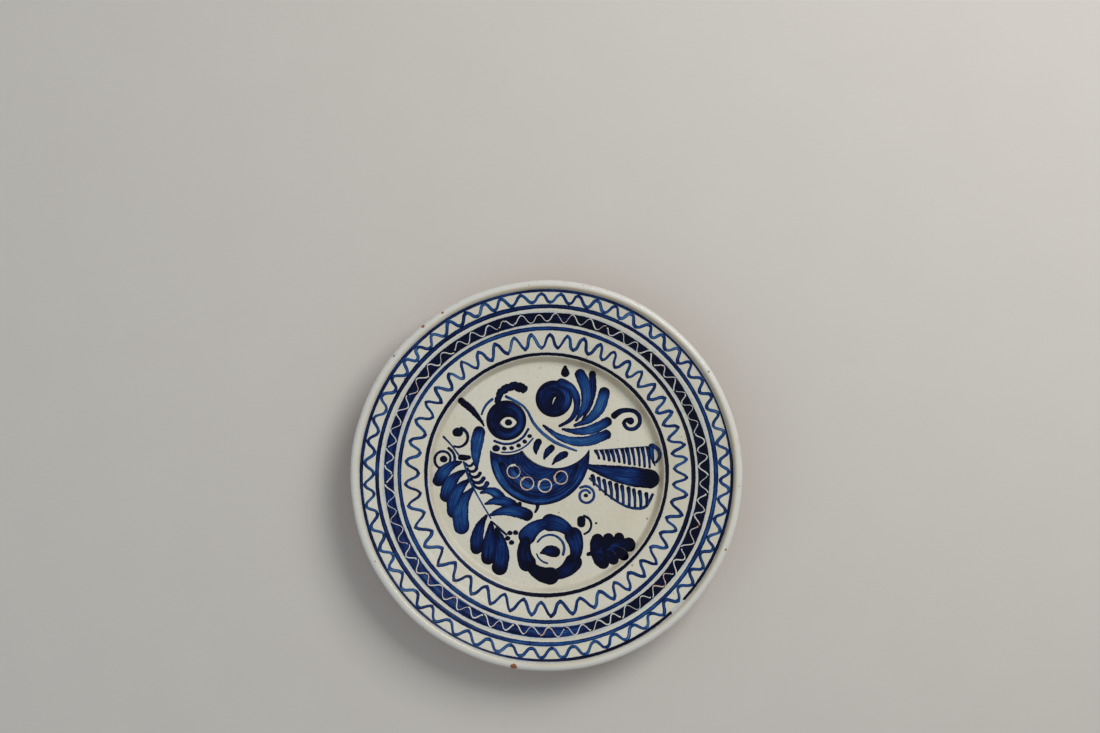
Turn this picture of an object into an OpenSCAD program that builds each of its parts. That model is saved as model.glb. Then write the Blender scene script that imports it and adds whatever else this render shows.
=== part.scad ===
// Hand painted earthenware plate: a thrown clay body with a foot ring, a white slip coat on its
// face, and cobalt brushwork. It lies on its foot ring with the painted face up (+Z). The origin
// is under the middle of the foot ring, and +Y points to the top of the painted picture.

/* [Plate] */
// Diameter over the rounded lip
plate_d = 260; // [215:1:315]
// Height from the foot ring's underside to the top of the lip
plate_h = 34; // [28:0.5:42]
// Thickness of the sloping flange
flange_t = 6; // [4:0.5:8]
// Thickness of the rounded bead that forms the lip
lip_d = 5; // [4:0.2:8]

/* [Well] */
// Diameter of the well at the top of its wall
well_d = 158.5; // [131:0.5:192]
// Width of the curved wall between the flat floor and the flange
well_wall_w = 4; // [3:0.5:6]
// Drop from the flange to the floor of the well
well_depth = 6; // [4:0.5:8]
// Thickness of the clay under the floor
floor_t = 6.5; // [5:0.5:9]

/* [Foot] */
// Outer diameter of the foot ring
foot_d = 132; // [105:1:160]
// Width of the foot ring's flat underside
foot_wall = 8; // [5:0.5:12]
// Height of the hollow inside the foot ring
foot_h = 6; // [5:0.5:8]

/* [Slip and paint] */
// Thickness of the white slip coat
slip_t = 0.5; // [0.4:0.05:0.8]
// Thickness of the cobalt paint
paint_t = 0.3; // [0.25:0.05:0.5]
// Bare slip left between two painted pieces that don't touch
paint_gap = 0.4; // [0.3:0.1:1]

/* [Ring lines] */
// Width of the line beside the lip
rim_line_w = 2; // [1:0.1:3]
// Width of the line outside the scratched band
outer_line_w = 2.6; // [1:0.1:3]
// Width of the line inside the scratched band
inner_line_w = 2.4; // [1:0.1:3]
// Width of the line around the well
well_line_w = 1.8; // [1:0.1:3]
// Where the outer line runs, from the well line (0) to the rim line (1)
outer_line_at = 0.755; // [0.73:0.005:0.78]
// Where the scratched band ends, from the well line (0) to the rim line (1)
band_outside_at = 0.655; // [0.62:0.005:0.665]
// Where the scratched band starts, from the well line (0) to the rim line (1)
band_inside_at = 0.48; // [0.47:0.005:0.5]
// Where the inner line runs, from the well line (0) to the rim line (1)
inner_line_at = 0.4; // [0.36:0.01:0.41]
// Angle at which the brush lifted off the rim line
rim_break_at = 312; // [0:1:355]
// Angle left bare there
rim_break = 5; // [2:1:12]

/* [Zigzags] */
// Teeth of the zigzag beside the lip
rim_teeth = 55; // [40:1:60]
// Teeth scratched through the dark band
band_teeth = 57; // [40:1:60]
// Teeth of the zigzag beside the well
well_teeth = 46; // [36:1:50]
// Width of the zigzag brush lines
zigzag_w = 2.1; // [0.8:0.1:2.4]
// Width of the scratched line
scratch_w = 0.7; // [0.5:0.1:1.2]
// Bare slip above and below the zigzag beside the well
well_zigzag_margin = 1.5; // [0.5:0.5:3]
// Dark paint left above and below the scratched zigzag
band_margin = 0.7; // [0.5:0.1:1]

/* [Hidden] */

$fn = 180;
small_fn = 48;
// Straight pieces in each stretch of a smooth line, round a brush end, and up the well's wall
curve_steps = 5;
end_steps = 6;
wall_steps = 12;
// Lets one solid cut cleanly past another
over = 1;

plate_r = plate_d / 2;
lip_r = lip_d / 2;
well_r = well_d / 2;
floor_r = well_r - well_wall_w;
foot_r = foot_d / 2;
floor_z = foot_h + floor_t;
lip_z = plate_h - slip_t - lip_r;
lip_at = plate_r - slip_t - lip_r;
flange_in_z = floor_z + well_depth;
flange_end_r = lip_at - lip_r;
flange_slope = (lip_z - flange_in_z) / (lip_at - well_r);

// Height of the clay's upper face at a radius: flat floor, S-shaped wall, sloping flange
function face_z(r) =
    r <= floor_r ? floor_z
    : r < well_r ? floor_z + well_depth * (1 - cos(180 * (r - floor_r) / well_wall_w)) / 2
    : flange_in_z + (r - well_r) * flange_slope;

face_radii = [0, each [for (i = [0:wall_steps]) floor_r + well_wall_w * i / wall_steps], lip_at];

// The upper face as a line from the middle outwards, raised by t
function face_line(t) = [for (r = face_radii) [r, face_z(r) + t]];

// Radii of the painted rings on the flange
well_line_r = well_r + paint_gap + well_line_w / 2;
rim_line_r = flange_end_r - slip_t - rim_line_w / 2;
field_in = well_line_r + well_line_w / 2;
field_out = rim_line_r - rim_line_w / 2;
function field_r(share) = field_in + (field_out - field_in) * share;
inner_line_r = field_r(inner_line_at);
band_in_r = field_r(band_inside_at);
band_out_r = field_r(band_outside_at);
outer_line_r = field_r(outer_line_at);

// The picture is drawn for a well of this radius and grows or shrinks with the real one
picture_r = 79.25;
picture_scale = well_r / picture_r;

// ---- Clay and slip ----

// Half of the plate's section, its upper face and lip raised by a coat of thickness t
module section(t) {
    polygon([
        [0, foot_h],
        [foot_r - foot_wall, foot_h],
        [foot_r - foot_wall, 0],
        [foot_r, 0],
        [foot_r, foot_h],
        [well_r, flange_in_z - flange_t],
        [lip_at, lip_z - lip_r],
        each [for (i = [len(face_radii) - 1:-1:0]) face_line(t)[i]]
    ]);
    translate([lip_at, lip_z]) circle(lip_r + t);
}

module clay_body() {
    color("#a5603c") rotate_extrude() section(0);
}

// The slip covers the face and wraps over the lip to its widest point
module white_slip() {
    color("#e4dfcf") rotate_extrude() difference() {
        section(slip_t);
        section(0);
        polygon([
            [well_r, -over],
            [plate_r + over, -over],
            [plate_r + over, lip_z],
            [lip_at, lip_z],
            [well_r, flange_in_z - flange_t]
        ]);
    }
}

// ---- Rings and zigzags on the flange ----

// A ring of paint on the flange, w wide and centred on radius r
module flange_ring(r, w, start = 0, turn = 360) {
    rotate([0, 0, start]) rotate_extrude(angle = turn) polygon([
        [r - w / 2, face_z(r - w / 2) + slip_t],
        [r + w / 2, face_z(r + w / 2) + slip_t],
        [r + w / 2, face_z(r + w / 2) + slip_t + paint_t],
        [r - w / 2, face_z(r - w / 2) + slip_t + paint_t]
    ]);
}

// One edge of a zigzag of so many teeth, its peaks at radius high and its valleys at radius low
module zigzag_edge(teeth, low, high) {
    polygon([for (i = [0:teeth - 1], peak = [1, 0])
        let (a = 360 * (i + (1 - peak) / 2) / teeth, r = peak == 1 ? high : low)
        r * [cos(a), sin(a)]]);
}

// A zigzag line w wide that fills the ring between two radii
module zigzag(teeth, low, high, w) {
    half_pitch = PI * (low + high) / 2 / teeth;
    rise = high - low;
    mitre = w * sqrt(1 + pow(rise / half_pitch, 2));
    difference() {
        zigzag_edge(teeth, low + mitre, high);
        zigzag_edge(teeth, low, high - mitre);
    }
}

module flange_zigzag(teeth, low, high, w) {
    intersection() {
        linear_extrude(plate_h) zigzag(teeth, low, high, w);
        flange_ring((low + high) / 2, high - low + over);
    }
}

module rim_line() {
    color("#16336f") flange_ring(rim_line_r, rim_line_w, rim_break_at + rim_break, 360 - rim_break);
}

module rim_zigzag() {
    color("#1d3f86") flange_zigzag(
        rim_teeth,
        outer_line_r + outer_line_w / 2 + paint_gap,
        rim_line_r - rim_line_w / 2 - paint_gap,
        zigzag_w
    );
}

module outer_line() {
    color("#1a3a7c") flange_ring(outer_line_r, outer_line_w);
}

// The dark band is two rings of paint, parted by the zigzag scratched through to the slip
module scratched_band() {
    color("#0b1a4a") difference() {
        flange_ring((band_in_r + band_out_r) / 2, band_out_r - band_in_r);
        linear_extrude(plate_h + over)
            zigzag(band_teeth, band_in_r + band_margin, band_out_r - band_margin, scratch_w);
    }
}

module inner_line() {
    color("#1a3a7c") flange_ring(inner_line_r, inner_line_w);
}

module well_zigzag() {
    color("#1d3f86") flange_zigzag(
        well_teeth,
        well_line_r + well_line_w / 2 + well_zigzag_margin,
        inner_line_r - inner_line_w / 2 - well_zigzag_margin,
        zigzag_w
    );
}

module well_line() {
    color("#0b1a4a") flange_ring(well_line_r, well_line_w);
}

// ---- Brush strokes on the floor of the well ----

// A point on the smooth curve from b to c, as t runs from 0 to 1
function between(a, b, c, d, t) =
    (2 * b + (c - a) * t + (2 * a - 5 * b + 4 * c - d) * t * t + (3 * b - a - 3 * c + d) * t * t * t) / 2;

// A smooth open line through a few points
function smooth(p) = [
    for (i = [0:len(p) - 2], k = [0:curve_steps - 1])
        between(p[max(i - 1, 0)], p[i], p[i + 1], p[min(i + 2, len(p) - 1)], k / curve_steps),
    p[len(p) - 1]
];

// Direction of a line at point i, in degrees
function heading(s, i) =
    let (a = s[max(i - 1, 0)], b = s[min(i + 1, len(s) - 1)]) atan2(b.y - a.y, b.x - a.x);

function polar(r, a) = r * [cos(a), sin(a)];
function place(p) = [p.x, p.y];

// Points round the end of a brush line, where it turns back from the angle
function brush_end(p, angle) =
    [for (k = [1:end_steps - 1]) place(p) + polar(p.z / 2, angle + 180 * k / end_steps)];

// A brush stroke with round ends, through points given as [x, y, width]
module stroke(points) {
    s = smooth(points);
    last = len(s) - 1;
    polygon([
        for (i = [0:last]) place(s[i]) + polar(s[i].z / 2, heading(s, i) - 90),
        each brush_end(s[last], heading(s, last) - 90),
        for (i = [last:-1:0]) place(s[i]) + polar(s[i].z / 2, heading(s, i) + 90),
        each brush_end(s[0], heading(s, 0) + 90)
    ]);
}

// A leaf's brush stroke starts at this share of its full width
leaf_start = 0.25;
// The brush is widest where this angle's sine peaks, a little before the tip
leaf_swell = 110;
// The round tip's middle lies this share of the width behind its end
leaf_tip = 0.4;

// A leaf pressed with a full brush: thin where it starts, widest and round at its tip
module leaf(from, tip, w, bend = 0) {
    way = (tip - from) / norm(tip - from);
    side = [-way.y, way.x];
    end = tip - way * w * leaf_tip;
    stroke([for (t = [0:0.25:1])
        let (p = from + (end - from) * t + side * bend * 4 * t * (1 - t))
        [p.x, p.y, w * (leaf_start + (1 - leaf_start) * sin(leaf_swell * t))]]);
}

// A curl around a middle, from an outer radius in to an inner one, its width going from w to w_in
module curl(middle, r_out, r_in, start, turn, w, w_in) {
    steps = ceil(abs(turn) / 45);
    stroke([for (i = [0:steps])
        let (t = i / steps, p = middle + polar(r_out + (r_in - r_out) * t, start + turn * t))
        [p.x, p.y, w + (w_in - w) * t]]);
}

module dot(p, r) {
    translate(p) circle(r, $fn = small_fn);
}

// Bars from one line to another, their ends shared out evenly; the lower line sags in its middle
module bars(top_a, top_b, low_a, low_b, n, w, sag = 0) {
    for (i = [0:n - 1])
        let (
            t = i / (n - 1),
            top = top_a + (top_b - top_a) * t,
            low = low_a + (low_b - low_a) * t - [0, sag * 4 * t * (1 - t)],
            mid = (top + low) / 2
        )
        stroke([[top.x, top.y, w * 1.2], [mid.x + w * 0.2, mid.y, w], [low.x, low.y, w * 0.9]]);
}

// A painted piece, clipped where the flat floor ends
module paint() {
    translate([0, 0, floor_z + slip_t]) linear_extrude(paint_t) intersection() {
        scale(picture_scale) children();
        circle(floor_r);
    }
}

// ---- The bird ----

head_at = [-27, 36];
head_r = 13.5;
// Two discs of this radius cross to form the white of the eye
eye_at = [-25.5, 34.6];
eye_arc_r = 5.8;
eye_arc_shift = [0, 2.2];
pupil_r = 2.3;
// The collar's lines and dots run around the head at these radii
collar_line_r = 15.9;
collar_dots_r = 18.9;
collar_edge_r = 21.6;
body_from_head = 23;
collar_dots = 5;
collar_dot_r = 1.5;
collar_dots_from = 266;
collar_dots_step = 15;
// A larger dot closes the collar at the throat
clasp_at = 20;
clasp_angle = 250;
clasp_r = 2.4;

// The body is the disc of the belly, less the disc of the wing and the room that the collar takes
belly_at = [-4.5, 12.5];
belly_r = 33.5;
wing_at = [6, 31];
wing_r = 27;
body_rings = 4;
body_ring_r = 4.4;
// The scratched rings lie on an arc around the belly's middle, from this angle on and this far apart
body_rings_at = 20.5;
body_rings_from = 212;
body_rings_step = 34;
wing_dabs = 3;

module head_disc() {
    dot(head_at, head_r);
}

module beak_stroke() {
    leaf([-42, 32.5], [-58.5, 50.5], 4.8, -1.2);
}

module crest_stroke() {
    curl([-23.5, 46.5], 9.6, 13.5, 165, -110, 4.6, 6.4);
}

module belly_patch() {
    difference() {
        dot(belly_at, belly_r);
        dot(wing_at, wing_r);
        dot(head_at, body_from_head);
    }
}

module bird_head() {
    color("#070d2b") paint() difference() {
        head_disc();
        intersection() {
            dot(eye_at + eye_arc_shift, eye_arc_r);
            dot(eye_at - eye_arc_shift, eye_arc_r);
        }
        crest_stroke();
        beak_stroke();
    }
}

module bird_eye() {
    color("#070d2b") paint() dot(eye_at, pupil_r);
}

module bird_beak() {
    color("#070d2b") paint() beak_stroke();
}

module bird_cheek() {
    color("#2b5a94") paint() curl(head_at, 17, 17, 166, -42, 1.5, 2.1);
}

module bird_crest() {
    color("#070d2b") paint() crest_stroke();
}

module bird_throat() {
    color("#16336f") paint() difference() {
        leaf([-46.8, 4], [-45, 31.5], 8.8, 1.2);
        beak_stroke();
        hook_strokes();
    }
}

module bird_collar() {
    color("#2b5a94") paint() {
        curl(head_at, collar_line_r, collar_line_r, 240, 98, 1.8, 1.8);
        curl(head_at, collar_edge_r, collar_edge_r, 262, 64, 1.2, 1.2);
        dot(head_at + polar(clasp_at, clasp_angle), clasp_r);
        for (i = [0:collar_dots - 1])
            dot(head_at + polar(collar_dots_r, collar_dots_from + collar_dots_step * i), collar_dot_r);
    }
}

// One line from behind the crest, down the neck and along the wing's upper side
module bird_back() {
    color("#2b5a94") paint()
        stroke([[-27, 52, 2.2], [-15, 45, 1.8], [-7, 32, 2.2], [5, 21.8, 2.4], [20, 15.6, 1.4]]);
}

// A ring scratched through paint to the slip
module scratched_ring() {
    difference() {
        circle(body_ring_r + scratch_w / 2, $fn = small_fn);
        circle(body_ring_r - scratch_w / 2, $fn = small_fn);
    }
}

module bird_body() {
    color("#0f2559") paint() difference() {
        belly_patch();
        for (i = [0:body_rings - 1])
            translate(belly_at + polar(body_rings_at, body_rings_from + body_rings_step * i))
                scratched_ring();
    }
}

module wing_marks() {
    color("#070d2b") paint() for (i = [0:wing_dabs - 1])
        leaf([-7, 13.5] + i * [5.5, -3.5], [-5, 23.5] + i * [9.5, -4.5], 5, 0.8);
}

module bird_feet() {
    color("#070d2b") paint() difference() {
        for (x = [-18, -6]) stroke([[x, -18, 3.2], [x, -22.5, 2.4], [x - 1.5, -25.5, 1.6]]);
        belly_patch();
        right_leaf_strokes();
    }
}

// ---- Crest scroll and plumes ----

scroll_at = [5, 50.5];
scroll_r = 12.4;

module scroll_patch() {
    difference() {
        union() {
            dot(scroll_at, scroll_r);
            curl([6, 49], 17, 12.4, -80, 150, 2, 7.5);
        }
        stroke([[6.2, 51.5, 0.9], [5, 49.3, 1.6], [4.2, 47, 0.9]]);
    }
}

module crest_scroll() {
    color("#070d2b") paint() scroll_patch();
}

module drop() {
    color("#070d2b") paint() stroke([[12.6, 71.8, 2.4], [12.6, 70, 4.6], [12.6, 68, 6]]);
}

module plumes() {
    color("#1d3f86") paint() difference() {
        union() {
            leaf([20, 36], [23, 70], 8, -5.5);
            leaf([24, 36], [31.2, 69], 5, -3);
            leaf([19, 32.5], [41, 57], 8, -5);
            leaf([11, 30], [43.5, 35.5], 6.8, -3.5);
            leaf([-2, 32.5], [43, 26], 7, -7.5);
        }
        scroll_patch();
    }
}

// ---- Tail ----

top_bars = 11;
low_bars = 10;
tail_bar_w = 1.9;
// How far the tail's lower line hangs below a straight one
tail_sag = 5;

module feather_patch() {
    leaf([25, 5.5], [75, -4.5], 13.5, -1);
}

module tail_top() {
    color("#16336f") paint() difference() {
        union() {
            stroke([[32, 15.8, 0.8], [50, 17, 0.9], [68, 18.3, 1]]);
            bars([33.5, 14.8], [68, 17.4], [35.4, 10.5], [69.5, 4.4], top_bars, tail_bar_w);
            leaf([73, 5.5], [70, 20], 3.6, 0.6);
            curl([69.5, 12], 7.4, 6, 75, -120, 3, 1.8);
        }
        feather_patch();
    }
}

module tail_feather() {
    color("#070d2b") paint() difference() {
        feather_patch();
        belly_patch();
    }
}

module tail_bottom() {
    color("#16336f") paint() difference() {
        union() {
            stroke([[29, -3, 1.4], [42, -14.8, 1.6], [55, -22.2, 1.9], [66, -22.4, 2.2], [71.4, -14, 2]]);
            bars([31, -2], [67, -13.5], [32, -7], [67.4, -21.6], low_bars, tail_bar_w, tail_sag);
        }
        feather_patch();
        belly_patch();
    }
}

// ---- Curls ----

module curl_right() {
    color("#0f2559") paint() {
        stroke([[45.6, 39.2, 4.6], [48.3, 41.3, 4.2], [52, 42.7, 3.4], [56.5, 42.8, 3]]);
        curl([56.5, 35.4], 7.4, 4.6, 90, -250, 3, 2.6);
        stroke([[51.9, 34.2, 2.4], [53.6, 36, 3], [56.6, 35.6, 5]]);
    }
}

module curl_belly() {
    color("#1d3f86") paint() {
        curl([26.5, -14.5], 6.4, 3.2, 125, -450, 1.7, 1.7);
        dot([26.5, -14.5], 1.4);
    }
}

module curl_low() {
    color("#070d2b") paint() {
        stroke([[23.4, -33.2, 5.6], [23.4, -31, 5.8]]);
        curl([23.8, -34], 6, 6.6, 75, -150, 1.9, 1.5);
        dot([33.4, -33.1], 0.8);
    }
}

module curl_left_top() {
    color("#0f2559") paint() difference() {
        union() {
            dot([-59.6, 28], 3.3);
            curl([-59.2, 25], 6, 7, 70, -185, 2.5, 1.6);
        }
        stem_strokes();
    }
}

module curl_left() {
    color("#0f2559") paint() difference() {
        union() {
            curl([-69, 10], 8, 4.4, 65, -440, 2.1, 1.8);
            dot([-69, 10], 2.4);
        }
        left_leaf_strokes();
    }
}

// ---- Branch ----

hooks = 5;
left_leaves = 4;
right_leaves = 3;
low_leaves = 3;
// Berries lie on an arc at the end of the stem
berry_count = 4;
berry_r = 1.7;
berries_at = [-22.5, -42.5];
berries_r = 3.6;
berries_from = 60;
berries_step = 65;

module stem_strokes() {
    stroke([[-55.5, 8, 1.6], [-51.5, -4, 1.8], [-46, -15, 1.2], [-37.5, -29.5, 1.2]]);
    stroke([[-36, -32.4, 1.2], [-31.5, -36.6, 1.7], [-27, -40.6, 1.7]]);
    stroke([[-69, 25, 1.6], [-64, 19.6, 1.2], [-59, 13, 1.3]]);
}

// Hooked buds down the right of the stem, each a little larger than the last, under a full bud
module hook_strokes() {
    stroke([[-57.5, 11.2, 4], [-54.5, 11, 4], [-52, 11.2, 2.8]]);
    for (i = [0:hooks - 1])
        curl([-51.8, 8] + i * [1.8, -3.15], 2.6 + 0.6 * i, 2.6 + 0.6 * i, 200, 140, 1.6, 2 + 0.35 * i);
}

module left_leaf_strokes() {
    for (i = [0:left_leaves - 1])
        leaf([-57.5, 8] + i * [2.6, -6], [-75, -6.4] + i * [5.6, -11], 8.6 + 0.8 * i, -2.5 - 0.4 * i);
}

module right_leaf_strokes() {
    for (i = [0:right_leaves - 1])
        leaf([-44, -12.5] + i * [3.2, -7.5], [-27.6, -17.4] + i * [9, -5], 7 + 0.8 * i, 3);
}

module stem() {
    color("#2b5a94") paint() difference() {
        stem_strokes();
        hook_strokes();
    }
}

module stem_hooks() {
    color("#070d2b") paint() hook_strokes();
}

module leaves_left() {
    color("#16336f") paint() difference() {
        left_leaf_strokes();
        stem_strokes();
        hook_strokes();
    }
}

module leaves_right() {
    color("#16336f") paint() difference() {
        right_leaf_strokes();
        stem_strokes();
        belly_patch();
    }
}

module leaves_low() {
    color("#070d2b") paint() difference() {
        for (i = [0:low_leaves - 1])
            leaf([-40.5, -28] + i * [3.5, -4.5], [-48, -53] + i * [8.5, -7], 8.8 + 1.2 * i, 2 * i - 2);
        stem_strokes();
        right_leaf_strokes();
    }
}

module berries() {
    color("#070d2b") paint() for (i = [0:berry_count - 1])
        dot(berries_at + polar(berries_r, berries_from + berries_step * i), berry_r);
}

// ---- Flower and lobed leaf ----

flower_at = [2.5, -50.5];
petals = 6;
petal_turn = 360 / petals;
// Each petal runs round the flower from its thin start to its broad tip
petal_r = [17.3, 17.9];
petal_w = [7, 12];
petal_from = -20;
petal_reach = 50;
// The lobed leaf's middle stroke, and its pairs of side lobes
lobed_from = [28, -54];
lobed_to = [59, -46.5];
lobe_pairs = 3;
lobe_w = 8.4;
lobe_length = 13.5;
lobe_angle = 54;

// Petals follow one another round the flower, each over the start of the next
module flower_petals() {
    color("#070d2b") paint() for (i = [0:petals - 1])
        curl(
            flower_at, petal_r[0], petal_r[1],
            petal_turn * i + petal_from, petal_reach,
            petal_w[0], petal_w[1]
        );
}

module flower_rings() {
    color("#1d3f86") paint() {
        curl(flower_at, 9.8, 9.4, 150, -172, 1.4, 2);
        curl(flower_at, 9.6, 9.6, 200, 58, 1.2, 1.4);
    }
}

module flower_heart() {
    color("#0f2559") paint() leaf(flower_at + [-6, -2.5], flower_at + [6.2, -1.5], 8, 1);
}

// A broad middle stroke with a pair of side lobes at each step along it, smaller towards the tip
module oak_leaf() {
    way = lobed_to - lobed_from;
    aim = atan2(way.y, way.x);
    color("#070d2b") paint() {
        leaf(lobed_from, lobed_to, 10);
        for (i = [0:lobe_pairs - 1], side = [-1, 1])
            let (from = lobed_from + way * (0.08 + 0.25 * i))
            leaf(from, from + polar(lobe_length - 1.6 * i, aim + side * lobe_angle), lobe_w - 0.5 * i);
    }
}

clay_body();
white_slip();
rim_line();
rim_zigzag();
outer_line();
scratched_band();
inner_line();
well_zigzag();
well_line();
bird_head();
bird_eye();
bird_beak();
bird_cheek();
bird_crest();
bird_throat();
bird_collar();
bird_back();
bird_body();
wing_marks();
bird_feet();
crest_scroll();
drop();
plumes();
tail_top();
tail_feather();
tail_bottom();
curl_right();
curl_belly();
curl_low();
curl_left_top();
curl_left();
stem();
stem_hooks();
leaves_left();
leaves_right();
leaves_low();
berries();
flower_petals();
flower_rings();
flower_heart();
oak_leaf();
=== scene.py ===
"""Looks of the hand painted earthenware plate: thrown red clay, a white slip coat and cobalt brushwork.

Lengths are millimetres until a mesh is made. +Z is out of the painted face, +Y the top of the picture.
"""
import math
import random

import bpy
import numpy as np
from mathutils import Matrix, Vector
from mathutils.geometry import delaunay_2d_cdt


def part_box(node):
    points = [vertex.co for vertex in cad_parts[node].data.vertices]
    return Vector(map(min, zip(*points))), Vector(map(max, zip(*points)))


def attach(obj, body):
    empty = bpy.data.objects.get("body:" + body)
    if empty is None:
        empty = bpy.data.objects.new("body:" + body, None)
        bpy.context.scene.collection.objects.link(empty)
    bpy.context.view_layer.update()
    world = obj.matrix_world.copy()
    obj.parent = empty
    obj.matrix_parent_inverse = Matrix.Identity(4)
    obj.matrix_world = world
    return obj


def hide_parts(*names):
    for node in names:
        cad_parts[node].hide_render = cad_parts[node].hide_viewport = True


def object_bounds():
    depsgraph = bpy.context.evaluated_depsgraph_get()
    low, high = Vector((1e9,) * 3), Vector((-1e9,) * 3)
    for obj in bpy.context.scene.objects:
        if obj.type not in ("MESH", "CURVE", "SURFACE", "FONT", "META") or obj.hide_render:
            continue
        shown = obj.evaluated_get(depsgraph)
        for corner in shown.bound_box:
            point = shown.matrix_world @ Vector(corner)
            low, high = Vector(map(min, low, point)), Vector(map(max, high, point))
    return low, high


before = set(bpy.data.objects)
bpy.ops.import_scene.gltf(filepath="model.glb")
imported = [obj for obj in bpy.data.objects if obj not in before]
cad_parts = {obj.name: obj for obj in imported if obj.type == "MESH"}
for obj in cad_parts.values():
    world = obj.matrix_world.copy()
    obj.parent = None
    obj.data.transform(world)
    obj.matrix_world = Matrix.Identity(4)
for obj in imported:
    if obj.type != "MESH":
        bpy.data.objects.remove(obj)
cad_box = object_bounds()

MM = 0.001
rng = random.Random(26)

# ---- Sizes that the CAD model sets ----


def top_of(node):
    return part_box(node)[1][2] / MM


def reach_of(node):
    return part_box(node)[1][0] / MM


PLATE_R = cad_box[1][0] / MM
PLATE_H = cad_box[1][2] / MM
FLOOR_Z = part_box("bird_head")[0][2] / MM
PAINT_T = top_of("bird_head") - FLOOR_Z
FLANGE_RISE = top_of("outer_line") - top_of("inner_line")
FLANGE_SLOPE = FLANGE_RISE / (reach_of("outer_line") - reach_of("inner_line"))
WELL_LINE_W = 1.8
WELL_LINE_R = reach_of("well_line") - WELL_LINE_W / 2
WELL_R = WELL_LINE_R - WELL_LINE_W / 2 - 0.4
WELL_WALL_W = 4.0
FLOOR_R = WELL_R - WELL_WALL_W
FLANGE_Z = top_of("well_line") - PAINT_T - FLANGE_SLOPE * (reach_of("well_line") - WELL_R)
INNER_LINE_R = reach_of("inner_line") - 1.2
OUTER_LINE_R = reach_of("outer_line") - 1.3
BAND_OUT_R = reach_of("scratched_band")
BAND_IN_R = BAND_OUT_R - 7.1
LIP_R = 3.0
SLIP_T = 0.5
FOOT_R = 66.0
FOOT_WALL = 8.0
FOOT_H = 6.0

# The thrown plate stays this far inside the CAD solid, which leaves room for its wobble
MARGIN = 0.75
LIP_AT = PLATE_R - LIP_R - MARGIN
LIP_Z = PLATE_H - LIP_R - MARGIN
RIM_LINE_R = LIP_AT - LIP_R - 0.9


# ---- The thrown shape ----


def smoothstep(x):
    x = np.clip(x, 0.0, 1.0)
    return x * x * (3 - 2 * x)


def wobble(angle, phase):
    """A slow hand-thrown unevenness round the plate, between about -1 and 1."""
    slow = 0.5 * np.sin(2 * angle + phase) + 0.3 * np.sin(3 * angle + 2 * phase)
    return slow + 0.2 * np.sin(5 * angle + 0.7 * phase)


def face_z(r, angle):
    """Height of the slip's surface: floor, S-shaped wall and flange, with the thrower's faint rings."""
    wall = smoothstep((r - FLOOR_R) / WELL_WALL_W)
    flange = np.maximum(r - WELL_R, 0) * FLANGE_SLOPE
    rings = 0.05 * np.sin(r * 1.1 + angle) * smoothstep((r - WELL_R) / 8) + 0.03 * np.sin(r * 0.7 + angle)
    sway = 0.18 * wobble(angle, 1.0) * smoothstep((r - WELL_R) / 40)
    return FLOOR_Z + (FLANGE_Z - FLOOR_Z) * wall + flange + rings + sway


def surface(x, y):
    return face_z(np.hypot(x, y), np.arctan2(y, x))


def make_mesh(name, co, faces, floats=None):
    """A mesh object from millimetre points, with named float values on its points."""
    mesh = bpy.data.meshes.new(name)
    mesh.from_pydata((np.asarray(co) * MM).tolist(), [], faces)
    for key, values in (floats or {}).items():
        layer = mesh.attributes.new(key, "FLOAT", "POINT")
        layer.data.foreach_set("value", np.asarray(values, dtype=np.float32))
    mesh.validate()
    mesh.shade_smooth()
    obj = bpy.data.objects.new(name, mesh)
    bpy.context.scene.collection.objects.link(obj)
    return obj


def settle(obj, material, nodes):
    obj.data.materials.append(material)
    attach(obj, "root")
    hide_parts(*nodes)
    return obj


def revolve(section, segments):
    """A closed solid of revolution; section(angles) gives its rows of radius and height.

    The first row and the last lie on the axis.
    """
    angles = np.linspace(0, 2 * math.pi, segments, endpoint=False)
    r, z = section(angles)
    poles = [(0, 0, z[0].mean()), (0, 0, z[-1].mean())]
    r, z = r[1:-1], z[1:-1]
    co = np.stack([r * np.cos(angles), r * np.sin(angles), z], axis=-1).reshape(-1, 3)
    idx = np.arange(len(co)).reshape(r.shape)
    nxt = np.roll(idx, -1, axis=1)
    quads = np.stack([idx[:-1], nxt[:-1], nxt[1:], idx[1:]], axis=-1).reshape(-1, 4)
    first, last = len(co), len(co) + 1
    start = [(first, int(b), int(a)) for a, b in zip(idx[0], nxt[0])]
    end = [(last, int(a), int(b)) for a, b in zip(idx[-1], nxt[-1])]
    return np.vstack([co, poles]), start + quads[:, ::-1].tolist() + end


# ---- Brush strokes ----

LEAF_START = 0.25
LEAF_SWELL = 110
LEAF_TIP = 0.4
RING_STEP = 2.5

ROW_STEP = 0.8
COLUMN_STEP = 0.5
CAP_ROWS = 6
SUNK = 0.12
BODY = 0.05
LAYER = 0.012
LAYERS = 6


def between(a, b, c, d, t):
    """The point a share t of the way from b to c on a smooth line through a, b, c and d."""
    bend = (2 * a - 5 * b + 4 * c - d) * t**2
    return (2 * b + (c - a) * t + bend + (3 * b - a - 3 * c + d) * t**3) / 2


def smooth(points, step=ROW_STEP):
    """Rows along the smooth curve through a few (x, y, width) points, about a step apart."""
    p = np.array(points, dtype=float)
    rows = []
    for i in range(len(p) - 1):
        a, b, c, d = p[max(i - 1, 0)], p[i], p[i + 1], p[min(i + 2, len(p) - 1)]
        count = max(2, int(math.ceil(np.hypot(*(c - b)[:2]) / step)))
        for t in np.arange(count) / count:
            rows.append(between(a, b, c, d, t))
    rows.append(p[-1])
    return np.array(rows)


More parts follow.
